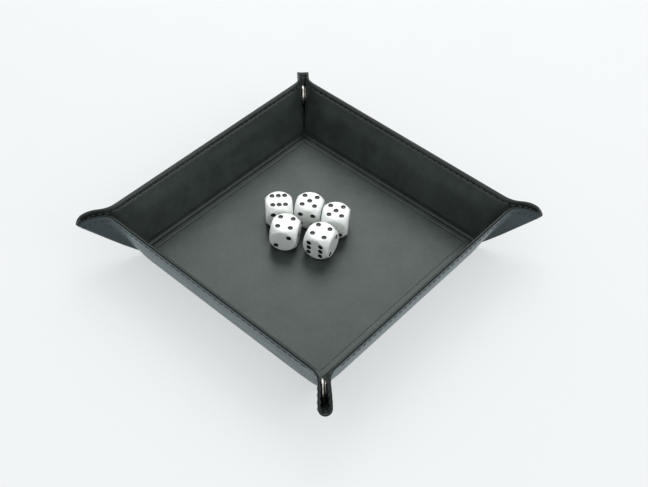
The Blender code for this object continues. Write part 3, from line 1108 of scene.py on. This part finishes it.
def die_face(facing, pips):
    """One face's points and paint mask.

    A ray's length is a soft minimum of the cube's and the ball's. A pip's bowl is a
    sphere's cap, and its paint stops at the lip.
    """
    facing = np.array(facing, float)
    axis = int(np.abs(facing).argmax())
    others = [number for number in range(3) if number != axis]
    line = np.linspace(-1, 1, FACE_STEPS)
    line = np.tan(line * math.pi / 4 * 0.8) / math.tan(math.pi / 4 * 0.8) * DIE / 2
    u, v = np.meshgrid(line, line)
    cube = np.zeros((*u.shape, 3))
    cube[..., axis] = facing[axis] * DIE / 2
    cube[..., others[0]] = u
    cube[..., others[1]] = v
    flat = np.linalg.norm(cube, axis=-1, keepdims=True)
    apart = np.clip(flat - DIE_BALL, -2 * DIE_EASE, 2 * DIE_EASE)
    eased = (2 * DIE_EASE - np.abs(apart)) ** 2 / (8 * DIE_EASE)
    points = cube / flat * (np.minimum(flat, DIE_BALL) - eased)
    ball = (PIP_RADIUS**2 + PIP_DEPTH**2) / (2 * PIP_DEPTH)
    paint = np.zeros_like(u)
    for across, along in pips:
        off = np.hypot(u - across * PIP_PITCH, v - along * PIP_PITCH)
        bowl = np.sqrt(np.clip(ball**2 - off**2, 0, None)) - (ball - PIP_DEPTH)
        points[..., axis] -= facing[axis] * np.clip(bowl, 0, None)
        paint = np.maximum(paint, 1 - np.clip((off - PIP_RADIUS) / (0.12 * MM) + 0.5, 0, 1))
    return points, paint


def die(name, turn, top, front):
    """Six faces joined, then turned so that the top and front faces look as they should."""
    low, high = (np.array(corner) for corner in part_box(name))
    up, ahead = (np.array(SIX_FACES[number][0], float) for number in (top, front))
    lie = np.array([-np.cross(ahead, up), -ahead, up])
    angle = math.radians(turn)
    spin = spin_about(np.array([0.0, 0.0, 1.0]), angle)
    pieces = [die_face(*SIX_FACES[number]) for number in range(1, 7)]
    points = np.concatenate([face.reshape(-1, 3) for face, _ in pieces])
    points = points @ (spin @ lie).T + (low + high) / 2
    masks = {"paint": np.concatenate([paint.ravel() for _, paint in pieces])}
    size = FACE_STEPS * FACE_STEPS
    faces = np.concatenate(
        [grid_faces(FACE_STEPS, FACE_STEPS, size * number) for number in range(6)]
    )
    made = piece_of(f"{name}_body", points, faces.tolist(), DICE_PLASTIC, masks)
    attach(made, name)
    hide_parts(name)
    return made


for row in THROWN:
    print(row[0], len(die(*row).data.polygons), "faces")

# %% [markdown]
# ## What stays from the solid model
# The boards are already the right shape. They lie between the skins and only get their
# finish. The rivets' caps and posts are part of the press studs above.

# %% Finish of the boards
for node_name, node in frame["nodes"].items():
    if node_name.endswith("_board"):
        node.data.materials.clear()
        node.data.materials.append(BOARD)

# %% [markdown]
# ## Studio
# A wide pale sheet under the tray, a soft light above and behind it that skims the floor
# of the tray, and another from the right. The sheet glows a little, as one lit from below
# does, so shadows stay pale and the outer faces of the near walls pick up its light.

# %% Ground, lights and camera
GROUND = 6.0  # metres from the middle to the sheet's sides
PALE = (0.972, 1.0, 1.006, 1.0)  # the cool white of the sheet's glow and of the air
GLOW = 0.535
AIR = 1.0
# name, place, size in metres, power in watts
SOFTBOXES = (
    ("softbox_back", (-0.65, 0.80, 1.0), 0.9, 6.9),
    ("softbox_right", (1.3, 0.4, 0.9), 0.8, 4.5),
)
CAMERA_PLACE = (0.2659, -0.3058, 0.4446)
CAMERA_TURN = (39.98, 47.33, 2.46)  # azimuth, elevation and roll in degrees
LENS = 57.12
ground_mesh = bpy.data.meshes.new("studio_ground")
sheet = [(GROUND * x, GROUND * y, 0) for x, y in ((-1, -1), (1, -1), (1, 1), (-1, 1))]
ground_mesh.from_pydata(sheet, [], [(0, 1, 2, 3)])
ground = bpy.data.objects.new("studio_ground", ground_mesh)
bpy.context.scene.collection.objects.link(ground)
paper, paper_shader, paper_place = finish_of("studio_paper")
feed(
    paper_place,
    paper_shader,
    Base_Color=paper_place.noise(3.0).colours((0.27, 0.27, 0.27), (0.29, 0.29, 0.29)),
    Roughness=0.7 + paper_place.noise(40.0) * 0.1,
)
paper_shader.inputs["Emission Color"].default_value = PALE
paper_shader.inputs["Emission Strength"].default_value = GLOW
ground_mesh.materials.append(paper)


def softbox(name, place, size, power):
    """A square area light that looks at the middle of the tray's underside."""
    light = bpy.data.lights.new(name, "AREA")
    light.shape = "SQUARE"
    light.size = size
    light.energy = power
    lamp = bpy.data.objects.new(name, light)
    bpy.context.scene.collection.objects.link(lamp)
    lamp.location = place
    x, y, z = place
    lamp.rotation_euler = (math.atan2(math.hypot(x, y), z), 0.0, math.atan2(x, -y))


for box in SOFTBOXES:
    softbox(*box)
world = bpy.data.worlds.new("studio_air")
world.use_nodes = True
air = world.node_tree.nodes["Background"]
air.inputs["Color"].default_value = PALE
air.inputs["Strength"].default_value = AIR
bpy.context.scene.world = world
bpy.context.scene.view_settings.view_transform = "Standard"


def studio_camera(place, azimuth, elevation, roll, lens):
    """A camera at a place, looking down its own azimuth and elevation, rolled a little."""
    camera = bpy.data.cameras.new("studio_camera")
    camera.lens = lens
    camera.sensor_width = 36.0
    camera.clip_start = 0.01
    camera.clip_end = 50.0
    holder = bpy.data.objects.new("studio_camera", camera)
    bpy.context.scene.collection.objects.link(holder)
    turn, rise_angle, tilt = (math.radians(angle) for angle in (azimuth, elevation, roll))
    back = np.array(
        [
            math.sin(turn) * math.cos(rise_angle),
            -math.cos(turn) * math.cos(rise_angle),
            math.sin(rise_angle),
        ]
    )
    right = np.array([math.cos(turn), math.sin(turn), 0.0])
    up = np.cross(back, right)
    rolled = math.cos(tilt) * right + math.sin(tilt) * up
    upright = math.cos(tilt) * up - math.sin(tilt) * right
    rows = [[*row, spot] for row, spot in zip(zip(rolled, upright, back), place)]
    holder.matrix_world = Matrix([*rows, [0, 0, 0, 1]])
    bpy.context.scene.camera = holder


studio_camera(CAMERA_PLACE, *CAMERA_TURN, LENS)
print(len(SOFTBOXES), "lights and a camera")
